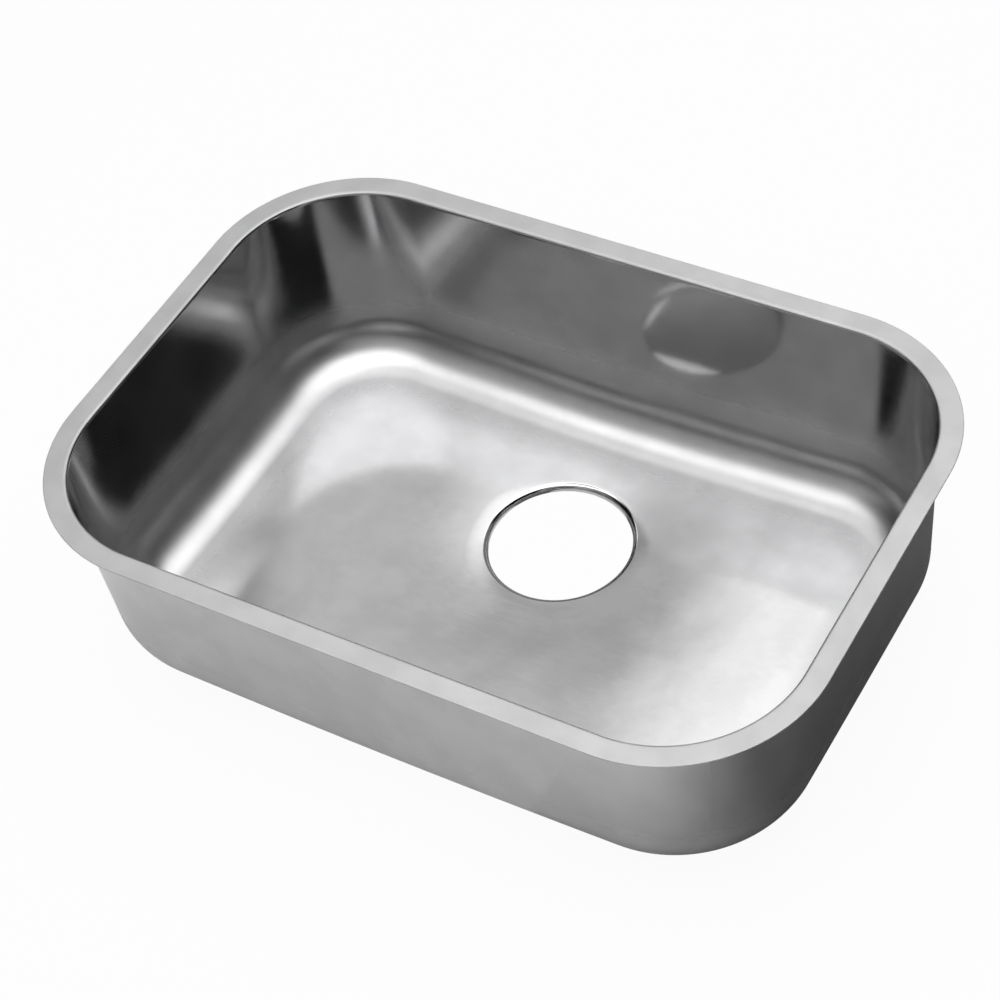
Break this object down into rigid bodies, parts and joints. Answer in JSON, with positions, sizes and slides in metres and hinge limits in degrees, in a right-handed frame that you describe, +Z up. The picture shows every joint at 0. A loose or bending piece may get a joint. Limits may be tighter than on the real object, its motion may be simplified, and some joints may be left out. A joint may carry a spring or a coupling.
{
  "type": "undermount kitchen sink",
  "caption": "Single-bowl undermount kitchen sink in satin stainless steel, with a flat rim flange, coved walls, a floor that falls to a rear drain hole and rubber sound pads below.",
  "frame": {"origin": "centre of the rim's top face, in the plane that meets the worktop's underside", "axes": "+X along the sink's long side, +Y from the user towards the drain and the wall behind, +Z up"},
  "size_m": [0.597, 0.418, 0.1755],
  "materials": {
    "stainless_sheet": "satin, drawn sheet",
    "sound_pad_rubber": "matte"
  },
  "bodies": {
    "root": {"bowl": "stainless_sheet", "sound_pad_left": "sound_pad_rubber", "sound_pad_right": "sound_pad_rubber", "sound_pad_front": "sound_pad_rubber"}
  },
  "joints": []
}
